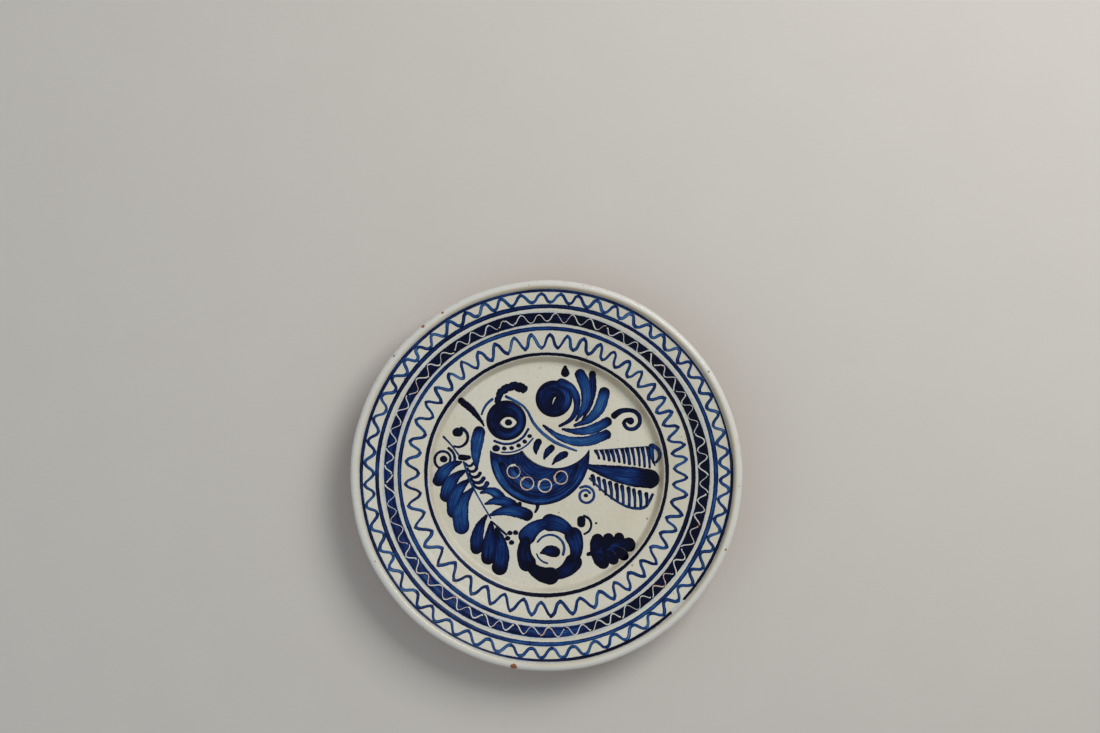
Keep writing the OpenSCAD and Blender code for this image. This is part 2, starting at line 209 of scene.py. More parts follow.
def closed(points, step=0.7):
    """The smooth closed outline through a few (x, y) points."""
    p = np.array(points, dtype=float)
    n = len(p)
    rows = []
    for i in range(n):
        a, b, c, d = p[i - 1], p[i], p[(i + 1) % n], p[(i + 2) % n]
        count = max(2, int(math.ceil(np.hypot(*(c - b)) / step)))
        for t in np.arange(count) / count:
            rows.append(between(a, b, c, d, t))
    return np.array(rows)


def polar(r, degrees):
    return np.array([r * math.cos(math.radians(degrees)), r * math.sin(math.radians(degrees))])


def ragged(s, size):
    """A brush edge's slight unevenness along a stroke."""
    out = np.zeros_like(s)
    for wave in (11.0, 5.0, 2.6):
        out += np.sin(2 * math.pi * s / wave + rng.uniform(0, 6.28)) * size / 3
    return out


def inside(points, loop):
    """Which points lie inside a closed outline."""
    x, y = points[:, 0, None], points[:, 1, None]
    x0, y0 = loop[:, 0], loop[:, 1]
    x1, y1 = np.roll(x0, -1), np.roll(y0, -1)
    crosses = (y0 > y) != (y1 > y)
    at = x0 + (y - y0) * (x1 - x0) / np.where(y1 == y0, 1e-9, y1 - y0)
    return (crosses & (x < at)).sum(axis=1) % 2 == 1


def distance_to(points, loop):
    """Each point's distance to a closed outline."""
    a, b = loop, np.roll(loop, -1, axis=0)
    ab = b - a
    best = np.full(len(points), 1e9)
    for p0, d in zip(a, ab):
        t = np.clip(((points - p0) @ d) / max(d @ d, 1e-9), 0, 1)
        best = np.minimum(best, np.linalg.norm(points - p0 - t[:, None] * d, axis=1))
    return best


class Painting:
    """The strokes of one painted piece, which end as one mesh that lies on the slip."""

    def __init__(self, lift=0.0):
        self.co, self.faces = [], []
        self.values = {"edge": [], "along": [], "across": [], "load": []}
        self.count = 0
        self.strokes = 0
        self.lift = lift

    def _add(self, xy, height, faces_top, border, values):
        """Closes a sheet of points into a thin solid that is sunk a little into the slip."""
        n = len(xy)
        z = surface(xy[:, 0], xy[:, 1])
        self.strokes += 1
        lift = self.lift + LAYER * (self.strokes % LAYERS)
        top = np.column_stack([xy, z + lift + height])
        low = np.column_stack([xy, z - SUNK])
        self.co.append(np.vstack([top, low]))
        k = self.count
        self.faces += [tuple(k + i for i in f) for f in faces_top]
        self.faces += [tuple(k + n + i for i in reversed(f)) for f in faces_top]
        self.faces += [(k + b, k + a, k + n + a, k + n + b) for a, b in border]
        for key, value in values.items():
            self.values[key].append(np.tile(np.broadcast_to(value, n), 2))
        self.count += 2 * n

    def brush(self, points, load=0.5, start=0.3, end=0.12, rough=0.12):
        """A stroke with round ends through (x, y, width) points; load is how much colour it carries."""
        rows = smooth(points)
        way = np.gradient(rows[:, :2], axis=0)
        way /= np.maximum(np.linalg.norm(way, axis=1), 1e-6)[:, None]
        length = np.concatenate([[0], np.cumsum(np.linalg.norm(np.diff(rows[:, :2], axis=0), axis=1))])
        r0, r1 = rows[0, 2] / 2, rows[-1, 2] / 2
        turn = np.radians(np.linspace(4, 80, CAP_ROWS))
        pos = np.vstack([
            rows[0, :2] - way[0] * (r0 * np.cos(turn))[:, None],
            rows[:, :2],
            rows[-1, :2] + way[-1] * (r1 * np.cos(turn[::-1]))[:, None],
        ])
        way = np.vstack([np.tile(way[0], (CAP_ROWS, 1)), way, np.tile(way[-1], (CAP_ROWS, 1))])
        half = np.concatenate([r0 * np.sin(turn), rows[:, 2] / 2, r1 * np.sin(turn[::-1])])
        s = np.concatenate([-r0 * np.cos(turn), length, length[-1] + r1 * np.cos(turn[::-1])])
        side = np.column_stack([-way[:, 1], way[:, 0]])
        columns = int(np.clip(round(2 * half.max() / COLUMN_STEP), 4, 22))
        u = np.linspace(-1, 1, columns + 1)
        edge_left, edge_right = ragged(s, rough), ragged(s, rough)
        stretch = np.where(u[None, :] > 0, edge_left[:, None], edge_right[:, None]) * np.abs(u)[None, :]
        offset = u[None, :] * half[:, None] + np.sign(u)[None, :] * stretch * np.minimum(half, 1)[:, None]
        xy = (pos[:, None, :] + side[:, None, :] * offset[:, :, None]).reshape(-1, 2)
        rim = np.minimum(half[:, None] * (1 - np.abs(u))[None, :], np.minimum(s - s[0], s[-1] - s)[:, None])
        wide = max(rows[:, 2].max(), 1.0)
        t = (s - s[0]) / (s[-1] - s[0])
        loads = load(t) if callable(load) else np.full_like(s, load)
        loads = loads + rng.uniform(-0.05, 0.05)
        loads = loads + start * np.exp(-((s - s[0]) / wide) ** 2)
        loads = loads + end * np.exp(-((s[-1] - s) / (0.7 * wide)) ** 2)
        shape = (len(pos), columns + 1)
        idx = np.arange(shape[0] * shape[1]).reshape(shape)
        quads = np.stack([idx[:-1, :-1], idx[1:, :-1], idx[1:, 1:], idx[:-1, 1:]], axis=-1).reshape(-1, 4)
        loop = np.concatenate([idx[:, 0], idx[-1, 1:], idx[-2::-1, -1], idx[0, -2:0:-1]])
        self._add(
            xy,
            BODY * (1 - np.exp(-np.maximum(rim, 0).ravel() / 0.3)) + LAYER * np.repeat(t, columns + 1),
            quads[:, ::-1].tolist(),
            list(zip(np.roll(loop, -1).tolist(), loop.tolist())),
            {
                "edge": np.maximum(rim, 0).ravel(),
                "along": np.repeat(s, columns + 1) + rng.uniform(0, 300),
                "across": offset.ravel(),
                "load": np.repeat(loads, columns + 1),
            },
        )

    def patch(self, outline, holes=(), load=0.6, centre=(0, 0), grid=0.9, step=0.7):
        """A filled area with holes left bare, its streaks running round a centre."""
        loops = [closed(outline, step)] + [closed(h, step) for h in holes]
        low, high = loops[0].min(axis=0), loops[0].max(axis=0)
        gx, gy = np.meshgrid(np.arange(low[0], high[0], grid), np.arange(low[1], high[1], grid))
        gx = gx + (np.arange(gx.shape[0]) % 2)[:, None] * grid / 2
        cells = np.column_stack([gx.ravel(), gy.ravel()])
        keep = inside(cells, loops[0])
        for hole in loops[1:]:
            keep &= ~inside(cells, hole)
        cells = cells[keep]
        near = np.min([distance_to(cells, loop) for loop in loops], axis=0)
        cells = cells[near > 0.4 * grid]
        points = np.vstack(loops + [cells])
        edges, at = [], 0
        for loop in loops:
            edges += [(at + i, at + (i + 1) % len(loop)) for i in range(len(loop))]
            at += len(loop)
        out, _, faces, _, _, _ = delaunay_2d_cdt([Vector(p) for p in points], edges, [], 0, 1e-5)
        out = np.array([(p.x, p.y) for p in out])
        middle = np.array([out[list(f)].mean(axis=0) for f in faces])
        keep = inside(middle, loops[0])
        for hole in loops[1:]:
            keep &= ~inside(middle, hole)
        tris = [tuple(f) for f, k in zip(faces, keep) if k]
        sides = {}
        for f in tris:
            for a, b in zip(f, f[1:] + f[:1]):
                sides[(a, b)] = True
        border = [(a, b) for a, b in sides if (b, a) not in sides]
        rim = np.min([distance_to(out, loop) for loop in loops], axis=0)
        away = out - np.array(centre)
        r = np.hypot(away[:, 0], away[:, 1])
        self._add(
            out,
            BODY * (1 - np.exp(-rim / 0.3)),
            tris,
            border,
            {
                "edge": rim,
                "along": np.arctan2(away[:, 1], away[:, 0]) * np.maximum(r, 4) + rng.uniform(0, 300),
                "across": r,
                "load": load,
            },
        )

    def leaf(self, start, tip, width, bend=0.0, load=0.55):
        """A leaf pressed with a full brush: thin where it starts, widest and round at its tip."""
        a, b = np.array(start, dtype=float), np.array(tip, dtype=float)
        way = (b - a) / np.linalg.norm(b - a)
        side = np.array([-way[1], way[0]])
        b = b - way * width * LEAF_TIP
        points = []
        for t in np.linspace(0, 1, 5):
            p = a + (b - a) * t + side * bend * 4 * t * (1 - t)
            swell = math.sin(math.radians(LEAF_SWELL * t))
            points.append((*p, width * (LEAF_START + (1 - LEAF_START) * swell)))
        self.brush(points, load, start=0.2, end=0.42, rough=0.25)

    def curl(self, middle, r_out, r_in, start, turn, w, w_in, load=0.6, pool=0.12, rough=0.12):
        steps = max(4, math.ceil(abs(turn) / 30))
        points = []
        for i in range(steps + 1):
            t = i / steps
            p = np.array(middle) + polar(r_out + (r_in - r_out) * t, start + turn * t)
            points.append((*p, w + (w_in - w) * t))
        self.brush(points, load, start=pool, end=pool, rough=rough)

    def dot(self, x, y, r, load=0.85):
        points = [(x - 0.2 * r, y, 1.8 * r), (x, y + 0.05 * r, 1.95 * r), (x + 0.2 * r, y, 1.8 * r)]
        self.brush(points, load, 0, 0)

    def bars(self, top_a, top_b, low_a, low_b, count, width, sag=0.0, load=0.5):
        """Bars between two lines, each with a dark dab where the brush was set down."""
        top_a, top_b, low_a, low_b = (np.array(v, dtype=float) for v in (top_a, top_b, low_a, low_b))
        for i in range(count):
            t = i / (count - 1)
            top = top_a + (top_b - top_a) * t + [rng.uniform(-0.3, 0.3), rng.uniform(-0.3, 0.5)]
            low = low_a + (low_b - low_a) * t - [0, sag * 4 * t * (1 - t)]
            mid = (top + low) / 2 + [0.35, 0]
            w = width * rng.uniform(0.88, 1.12)
            self.brush([(*top, w * 1.3), (*mid, w), (*low, w * 0.9)], load, start=0.45, end=0.1)

    def ring(self, radius, width, tones, start=0.0, turn=360.0, sway=0.35, phase=0.0):
        """A line drawn as the plate turned on a wheel; tones gives how dark it is at some angles."""
        points = []
        count = int(abs(turn) / RING_STEP)
        angles = start + turn * np.arange(count + 1) / count
        for angle in angles:
            a = math.radians(angle)
            r = radius + sway * float(wobble(a, phase))
            uneven = 1 + 0.09 * math.sin(3 * a + phase) + 0.06 * math.sin(11 * a)
            points.append((*polar(r, angle), width * uneven))
        at, tone = zip(*tones)
        shades = np.interp(angles % 360, at, tone, period=360)
        self.brush(points, lambda t: np.interp(t, np.linspace(0, 1, count + 1), shades), start=0.2, end=0.15)

    def zigzag(self, rhythm, low, high, width, load, phase=0.0, shake=0.4, bow=0.55, uneven=0.14, lost=0.0):
        """A zigzag painted leg by leg; rhythm gives the angles of some of its teeth as (tooth, degrees).

        Each leg is an S whose sides bow out by about bow; uneven and lost vary its width and cut it short.
        """
        count = rhythm[-1][0]
        teeth = np.interp(np.arange(count + 1), [k for k, _ in rhythm], [v for _, v in rhythm])
        teeth[:-1] += [rng.uniform(-0.5, 0.5) for _ in range(count)]
        teeth[-1] = teeth[0] + 360
        corners = []
        for i in range(count):
            swing = 0.5 * float(wobble(math.radians(teeth[i]), phase))
            corners.append(polar(high + swing + rng.uniform(-shake, shake), teeth[i]))
            valley = (teeth[i] + teeth[i + 1]) / 2 + rng.uniform(-0.25, 0.25)
            corners.append(polar(low + swing + rng.uniform(-shake, shake), valley))
        corners.append(corners[0])
        for i in range(2 * count):
            a, b = corners[i], corners[i + 1]
            side = np.array([a[1] - b[1], b[0] - a[0]]) / np.linalg.norm(b - a)
            swell = bow * rng.uniform(0.6, 1.4) * (1 if i % 2 else -1)
            near = a + (b - a) * 0.24 + side * swell
            far = a + (b - a) * 0.76 - side * swell
            b = b - (b - a) * (rng.uniform(0.05, 0.3) if rng.random() < lost else 0)
            w = width * rng.uniform(1 - uneven, 1 + uneven)
            shade = load + rng.uniform(-0.14, 0.14)
            leg = [(*a, w), (*near, w * 0.95), (*far, w * 0.88), (*b, w)]
            self.brush(leg, shade, start=0.16, end=0.2, rough=0.12)

    def done(self, name, material, slot, *nodes):
        values = {key: np.concatenate(parts) for key, parts in self.values.items()}
        return settle(make_mesh(name, np.vstack(self.co), self.faces, values), material, nodes)


# ---- Node materials ----


class Nodes:
    """A material's node tree, written as short calls."""

    def __init__(self, name):
        self.material = bpy.data.materials.new(name)
        self.material.use_nodes = True
        self.tree = self.material.node_tree
        self.shader = self.tree.nodes["Principled BSDF"]

    def put(self, socket, value):
        if isinstance(value, bpy.types.NodeSocket):
            self.tree.links.new(value, socket)
        else:
            socket.default_value = value

    def add(self, kind, **inputs):
        node = self.tree.nodes.new(kind)
        for key, value in inputs.items():
            self.put(node.inputs[key.replace("_", " ")], value)
        return node

    def math(self, operation, a, b=0.0, clamp=False):
        node = self.tree.nodes.new("ShaderNodeMath")
        node.operation = operation
        node.use_clamp = clamp
        self.put(node.inputs[0], a)
        self.put(node.inputs[1], b)
        return node.outputs[0]

    def attribute(self, name):
        node = self.tree.nodes.new("ShaderNodeAttribute")
        node.attribute_name = name
        return node.outputs["Fac"]

    def noise(self, vector, scale, detail=3.0, rough=0.55):
        node = self.add("ShaderNodeTexNoise", Vector=vector, Scale=scale, Detail=detail, Roughness=rough)
        return node.outputs["Fac"]

    def place(self):
        """Millimetres in the plate's own frame."""
        coords = self.tree.nodes.new("ShaderNodeTexCoord").outputs["Object"]
        node = self.add("ShaderNodeVectorMath", Vector=coords)
        node.operation = "SCALE"
        node.inputs["Scale"].default_value = 1 / MM
        return node.outputs[0]

    def step(self, value, low, high):
        """0 below low, 1 above high and smooth between; falls instead where low is above high."""
        node = self.add("ShaderNodeMapRange", Value=value)
        node.interpolation_type = "SMOOTHSTEP"
        node.inputs["From Min"].default_value = min(low, high)
        node.inputs["From Max"].default_value = max(low, high)
        node.inputs["To Min"].default_value = 0.0 if low < high else 1.0
        node.inputs["To Max"].default_value = 1.0 if low < high else 0.0
        return node.outputs[0]

    def mix(self, factor, a, b):
        node = self.tree.nodes.new("ShaderNodeMix")
        node.data_type = "RGBA"
        self.put(node.inputs["Factor"], factor)
        self.put(node.inputs[6], a)
        self.put(node.inputs[7], b)
        return node.outputs[2]

    def ramp(self, value, stops):
        node = self.add("ShaderNodeValToRGB", Fac=value)
        points = node.color_ramp.elements
        for i, (at, color) in enumerate(stops):
            point = points[i] if i < 2 else points.new(at)
            point.position = at
            point.color = color
        return node.outputs["Color"]

    def combine(self, x, y, z):
        return self.add("ShaderNodeCombineXYZ", X=x, Y=y, Z=z).outputs[0]

    def bump(self, height, strength, distance):
        return self.add("ShaderNodeBump", Height=height, Strength=strength, Distance=distance).outputs[0]

    def finish(self, color, roughness, normal, specular=0.5):
        self.put(self.shader.inputs["Base Color"], color)
        self.put(self.shader.inputs["Roughness"], roughness)
        self.put(self.shader.inputs["Normal"], normal)
        self.shader.inputs["Specular IOR Level"].default_value = specular
        return self.material


def srgb(r, g, b):
    """A colour given in 0 to 255, as the linear values that a shader takes."""
    def linear(c):
        c = c / 255
        return c / 12.92 if c <= 0.04045 else ((c + 0.055) / 1.055) ** 2.4
    return (linear(r), linear(g), linear(b), 1.0)


IVORY = srgb(224, 222, 206)
IVORY_COOL = srgb(220, 221, 218)
IVORY_WARM = srgb(216, 208, 182)
BLEED = srgb(146, 166, 188)
TAN_POOL_AND_SHADE = srgb(168, 136, 88)
SPECK = srgb(104, 74, 52)
IRON = srgb(60, 40, 26)
TERRACOTTA = srgb(176, 106, 66)
TERRACOTTA_DARK = srgb(140, 80, 50)
TERRACOTTA_PALE = srgb(204, 144, 102)


def radius_of(n, place):
    node = n.add("ShaderNodeSeparateXYZ", Vector=place)
    x, y = node.outputs["X"], node.outputs["Y"]
    square = n.math("ADD", n.math("MULTIPLY", x, x), n.math("MULTIPLY", y, y))
    return n.math("SQRT", square)


def speck_mask(n, place, spacing, size, share):
    """Round specks scattered about spacing mm apart; share of the cells hold one."""
    node = n.add("ShaderNodeTexVoronoi", Vector=place, Scale=1 / spacing)
    pick = n.add("ShaderNodeSeparateColor", Color=node.outputs["Color"])
    there = n.step(pick.outputs[0], 1 - share, 1 - share + 0.02)
    reach = n.math("MULTIPLY", n.math("ADD", pick.outputs[1], 0.3), size / spacing)
    near = n.math("SUBTRACT", 1.0, n.math("DIVIDE", node.outputs["Distance"], reach), clamp=True)
    return n.math("MULTIPLY", n.step(near, 0.0, 0.5), there)


def chip_mask(n, place, x, y, size):
    """An irregular chip around one place on the lip."""
    offset = n.add("ShaderNodeVectorMath", Vector=place)
    offset.operation = "SUBTRACT"
    offset.inputs[1].default_value = (x, y, LIP_Z + LIP_R * 0.8)
    length = n.add("ShaderNodeVectorMath", Vector=offset.outputs[0])
    length.operation = "LENGTH"
    ragged_edge = n.math("MULTIPLY", n.noise(place, 0.9, 4.0), size * 0.9)
    return n.step(n.math("ADD", length.outputs["Value"], ragged_edge), size * 1.45, size * 1.25)


# The way towards the side of the plate where shade is painted: the slip turns warmer and darker there, and
# more tan where its walls face away from the key light
SHADE_SIDE = (0.8, 0.6, 0.0)
# Where the painted shade begins and where it is full, in mm towards that side
SHADE_SIDE_SPREAD = (-30.0, 90.0)
# Radii between which tan begins at the foot of the lip and fades again on the lip: pooled glaze, with
# painted shade in that crease
LIP_POOL_AND_SHADE = (122.4, 124.2)
LIP_POOL_AND_SHADE_END = (126.0, 124.6)
# Radii between which the lip turns cool white: the thicker slip's own tone, with a painted highlight on the
# lip's outer slope
LIP_COOL_AND_HIGHLIGHT = (124.5, 126.5)
# Radii between which splashes of slip reach the underside
SPLASHES = (96.0, 116.0)
# How far the glaze carries a blue tint out from a ring line, in mm
BLEED_REACH = 2.4
# Each chip on the lip: where it is across the plate, and its size
CHIPS = [
    (-22.0, -125.5, 2.4),
    (-82.0, 98.5, 1.5),
    (-69.0, 107.5, 1.0),
    (40.0, 122.5, 0.8),
    (118.0, -49.0, 0.9),
]


def slip_material():
    """Warm white slip under a clear glaze with iron specks and worn spots; tan where glaze pooled, and
    painted shade and highlight.
    """
    n = Nodes("white_slip")
    place = n.place()
    r = radius_of(n, place)
    broad = n.noise(place, 0.028, 4.0)
    fine = n.noise(place, 0.35, 5.0, 0.65)
    color = n.mix(n.math("MULTIPLY", n.step(broad, 0.4, 0.75), 0.7), IVORY, IVORY_WARM)
    color = n.mix(n.math("MULTIPLY", n.step(fine, 0.42, 0.7), 0.35), color, IVORY_COOL)
    sand = n.noise(place, 1.1, 4.0, 0.7)
    color = n.mix(n.math("MULTIPLY", n.step(sand, 0.5, 0.78), 0.3), color, SPECK)
    # How far each point lies towards the side where shade is painted
    toward = n.add("ShaderNodeVectorMath", Vector=place)
    toward.operation = "DOT_PRODUCT"
    toward.inputs[1].default_value = SHADE_SIDE
    side = n.step(toward.outputs["Value"], *SHADE_SIDE_SPREAD)
    # Tan on the well's wall and at the foot of the lip: glaze pooled all round, with painted shade added on
    # the side where these walls face away from the key light
    from_floor = n.step(r, FLOOR_R - 1.0, FLOOR_R + 1.5)
    pool = n.math("MULTIPLY", from_floor, n.step(r, WELL_R + 0.5, FLOOR_R + 2.5))
    foot_of_lip = n.math("MULTIPLY", n.step(r, *LIP_POOL_AND_SHADE), n.step(r, *LIP_POOL_AND_SHADE_END))
    pooling_and_shade = n.math("MULTIPLY", n.math("ADD", pool, foot_of_lip), n.math("ADD", side, 0.25))
    color = n.mix(n.math("MULTIPLY", pooling_and_shade, 0.45), color, TAN_POOL_AND_SHADE)
    # Painted shade: the whole face turns warmer and darker towards its upper right
    color = n.mix(n.math("MULTIPLY", side, 0.22), color, IVORY_WARM)
    # Painted highlight, with the thicker slip's own cooler tone: the lip's outer slope turns cool white
    color = n.mix(n.math("MULTIPLY", n.step(r, *LIP_COOL_AND_HIGHLIGHT), 0.75), color, IVORY_COOL)
    tint = 0.0
    for line in (WELL_LINE_R, INNER_LINE_R, BAND_IN_R, BAND_OUT_R, OUTER_LINE_R, RIM_LINE_R):
        away = n.math("ABSOLUTE", n.math("SUBTRACT", r, line))
        tint = n.math("MAXIMUM", n.step(away, BLEED_REACH, 0.6), tint)
    color = n.mix(n.math("MULTIPLY", tint, n.math("MULTIPLY", n.step(fine, 0.2, 0.8), 0.6)), color, BLEED)
    lip_edge = n.step(r, PLATE_R - 3.2, PLATE_R - 0.8)
    lip_wear = n.math("MULTIPLY", lip_edge, n.step(n.noise(place, 0.16, 5.0), 0.5, 0.72))
    color = n.mix(n.math("MULTIPLY", lip_wear, 0.35), color, TERRACOTTA_PALE)
    specks = n.math("MAXIMUM", speck_mask(n, place, 10.0, 0.95, 0.45), speck_mask(n, place, 3.0, 0.4, 0.2))
    color = n.mix(n.math("MULTIPLY", specks, 0.8), color, SPECK)
    blush = n.math("MULTIPLY", speck_mask(n, place, 31.0, 2.6, 0.3), 0.35)
    color = n.mix(blush, color, TERRACOTTA_PALE)
    chips = 0.0
    for x, y, size in CHIPS:
        chips = n.math("MAXIMUM", chip_mask(n, place, x, y, size), chips)
    color = n.mix(chips, color, n.mix(fine, TERRACOTTA, TERRACOTTA_DARK))
    roughness = n.math("ADD", n.math("MULTIPLY", fine, 0.16), n.math("MULTIPLY", chips, 0.4))
    roughness = n.math("ADD", roughness, 0.12)
    dents = n.math("ADD", n.noise(place, 0.11, 3.0), n.math("MULTIPLY", n.noise(place, 1.3, 2.0), 0.12))
    sunk = n.math("ADD", n.math("MULTIPLY", chips, 0.8), n.math("MULTIPLY", specks, 0.15))
    height = n.math("SUBTRACT", dents, sunk)
    return n.finish(color, roughness, n.bump(height, 0.5, 0.0006), 0.4)


def clay_material():
    """Red earthenware with turning marks, sandy grain and a thin uneven glaze."""
    n = Nodes("earthenware")
    place = n.place()
    r = radius_of(n, place)
    broad = n.noise(place, 0.03, 4.0)
    grain = n.noise(place, 1.4, 5.0, 0.7)
    rings = n.combine(n.math("MULTIPLY", r, 0.7), n.math("MULTIPLY", broad, 1.5), 0.0)
    turning = n.noise(rings, 1.0, 5.0, 0.6)
    color = n.mix(n.step(broad, 0.35, 0.68), TERRACOTTA, TERRACOTTA_DARK)
    color = n.mix(n.math("MULTIPLY", n.step(turning, 0.42, 0.66), 0.55), color, TERRACOTTA_PALE)
    splash = n.step(n.noise(place, 0.045, 5.0, 0.6), 0.58, 0.62)
    splash = n.math("MULTIPLY", splash, n.step(r, *SPLASHES))
    color = n.mix(n.math("MULTIPLY", splash, 0.6), color, IVORY_WARM)
    color = n.mix(n.math("MULTIPLY", n.step(grain, 0.6, 0.8), 0.3), color, IVORY_WARM)
    specks = n.math("MAXIMUM", speck_mask(n, place, 3.2, 0.35, 0.25), speck_mask(n, place, 11.0, 1.0, 0.15))
    color = n.mix(n.math("MULTIPLY", specks, 0.75), color, IRON)
    roughness = n.math("ADD", n.math("MULTIPLY", n.step(broad, 0.3, 0.7), 0.28), 0.38)
    height = n.math("ADD", n.math("MULTIPLY", turning, 0.8), n.math("MULTIPLY", grain, 0.35))
    return n.finish(color, roughness, n.bump(height, 0.6, 0.0005))


COBALT = [
    (0.0, srgb(128, 154, 180)),
    (0.14, srgb(74, 114, 156)),
    (0.32, srgb(34, 82, 138)),
    (0.5, srgb(15, 54, 114)),
    (0.66, srgb(6, 30, 84)),
    (0.83, srgb(2, 11, 48)),
    (1.0, srgb(1, 4, 26)),
]


def cobalt_material(name, depth, soft=0.18):
    """Brushed cobalt: streaks follow each stroke, and the colour pools at its edges and thins at its rim."""
    n = Nodes(name)
    place = n.place()
    edge, along, across = n.attribute("edge"), n.attribute("along"), n.attribute("across")
    hairs = n.combine(n.math("MULTIPLY", along, 0.06), n.math("MULTIPLY", across, 1.5), 0.0)
    streak = n.noise(hairs, 1.0, 4.0, 0.6)
    broad = n.noise(place, 0.1, 3.0)
    grain = n.noise(place, 2.2, 3.0)
    frayed = n.math("ADD", edge, n.math("MULTIPLY", n.math("SUBTRACT", grain, 0.5), 0.5 * soft))
    pool = n.math("MULTIPLY", n.step(frayed, 0.4 * soft, 1.3 * soft), n.step(edge, 1.1, 0.35))
    middle = n.step(edge, 0.9, 3.2)
    thin = n.step(frayed, soft, 0.0)
    amount = n.attribute("load")
    for value, weight in ((streak, 1.2), (broad, 0.6), (grain, 0.14)):
        amount = n.math("ADD", amount, n.math("MULTIPLY", n.math("SUBTRACT", value, 0.5), weight))
    for value, weight in ((pool, 0.3), (middle, -0.12), (thin, -0.42)):
        amount = n.math("ADD", amount, n.math("MULTIPLY", value, weight))
    color = n.ramp(n.math("ADD", amount, depth, clamp=True), COBALT)
    color = n.mix(n.math("MULTIPLY", speck_mask(n, place, 5.0, 0.35, 0.12), 0.6), color, IRON)
    roughness = n.math("ADD", n.math("MULTIPLY", n.noise(place, 0.4, 4.0), 0.2), 0.12)
    dents = n.math("ADD", n.noise(place, 0.11, 3.0), n.math("MULTIPLY", streak, 0.25))
    return n.finish(color, roughness, n.bump(dents, 0.5, 0.0005), 0.22)


def scratch_material(name, bare):
    """Slip laid bare by the scratching tool, orange over the share where the tool went down to the clay."""
    n = Nodes(name)
    place = n.place()
    edge = n.attribute("edge")
    deep = n.step(n.noise(place, 0.06, 3.0), 0.66 - 0.3 * bare, 0.8 - 0.3 * bare)
    cut = n.noise(place, 1.6, 4.0)
    color = n.mix(n.step(cut, 0.4, 0.7), srgb(236, 232, 212), srgb(176, 190, 200))
    color = n.mix(n.math("MULTIPLY", deep, n.step(cut, 0.35, 0.6)), color, srgb(190, 126, 84))
    color = n.mix(n.math("MULTIPLY", n.step(edge, 0.2, 0.0), 0.45), color, COBALT[3][1])
    roughness = n.math("ADD", n.math("MULTIPLY", cut, 0.25), 0.2)
    return n.finish(color, roughness, n.bump(cut, 0.6, 0.0004))


# ---- The clay and its slip ----

SEGMENTS = 360
FLANGE_END = LIP_AT - LIP_R - 0.5
SLIP_STOPS = -38.0
FLANGE_T = 6.0


def face_radii():
    """Radii from near the middle out to the lip, closest together on the wall of the well."""
    return np.concatenate([
        [0.0],
        np.linspace(2, FLOOR_R - 1, 40),
        np.linspace(FLOOR_R, WELL_R, 15),
        np.linspace(WELL_R + 0.8, FLANGE_END, 50),
    ])


def lip_points(angles, radius, turns):
    """The lip's rounded bead, for turns in degrees: 180 is its inside, 90 its top and 0 its outside."""
    sway = 0.5 * wobble(angles, 2.0) + 0.12 * np.sin(13 * angles)
    lift = 0.4 * wobble(angles, 0.4)
    r = np.stack([LIP_AT + sway + radius[i] * math.cos(math.radians(t)) for i, t in enumerate(turns)])
    z = np.stack([LIP_Z + lift + radius[i] * math.sin(math.radians(t)) for i, t in enumerate(turns)])
    return r, z


def face_rows(angles, sink):
    radii = face_radii()
    r = np.tile(radii[:, None], (1, len(angles)))
    return r, face_z(r, angles[None, :]) - sink


def slip_section(angles):
    turns = np.linspace(176, SLIP_STOPS, 26)
    taper = np.clip((turns - SLIP_STOPS) / 50, 0.12, 1)
    face_r, face_h = face_rows(angles, 0.0)
    under_r, under_h = face_rows(angles, SLIP_T)
    over_r, over_h = lip_points(angles, LIP_R - SLIP_T * (1 - taper), turns)
    below_r, below_h = lip_points(angles, np.full(len(turns), LIP_R - SLIP_T), turns[::-1])
    radii = np.vstack([face_r, over_r, below_r, under_r[::-1]])
    return radii, np.vstack([face_h, over_h, below_h, under_h[::-1]])


def clay_section(angles):
    turns = np.linspace(170, -75, 30)
    face_r, face_h = face_rows(angles, SLIP_T + 0.02)
    bead_r, bead_h = lip_points(angles, np.full(len(turns), LIP_R - SLIP_T - 0.02), turns)
    outline = []
    low_lip = LIP_Z - LIP_R + SLIP_T
    low_well = FLANGE_Z - FLANGE_T
    for t in np.linspace(0.03, 1, 46):
        r = LIP_AT + 0.6 + (WELL_R - 1 - LIP_AT) * t
        outline.append((r, low_lip + (low_well - low_lip) * t + 0.12 * math.sin(r * 1.3)))
    for t in np.linspace(0.1, 1, 12):
        under_r = WELL_R - 1 + (FOOT_R + 0.4 - WELL_R) * t
        outline.append((under_r, low_well + (FOOT_H + 0.6 - low_well) * t**0.8))
    corner = 0.9
    outline += [(FOOT_R - 0.2, FOOT_H * 0.7), (FOOT_R - 0.3, FOOT_H * 0.35)]
    for a in np.linspace(0, 90, 6):
        outline.append((FOOT_R - 0.3 - corner + corner * math.cos(math.radians(a)),
                        corner - corner * math.sin(math.radians(a)) + 0.02))
    inner = FOOT_R - FOOT_WALL
    for a in np.linspace(90, 180, 6):
        outline.append((inner + 0.2 + corner + corner * math.cos(math.radians(a)),
                        corner - corner * math.sin(math.radians(a)) + 0.02))
    outline += [(inner, FOOT_H * 0.5), (inner - 0.2, FOOT_H - 0.8), (inner - 1.2, FOOT_H - 0.05)]
    for r in np.linspace(inner - 2.5, 1.5, 44):
        outline.append((r, FOOT_H + 0.12 + 0.1 * math.sin(r * 0.9)))
    outline.append((0.0, FOOT_H + 0.12))
    low = np.array(outline)
    ones = np.ones(len(angles))
    return np.vstack([face_r, bead_r, low[:, 0:1] * ones]), np.vstack([face_h, bead_h, low[:, 1:2] * ones])


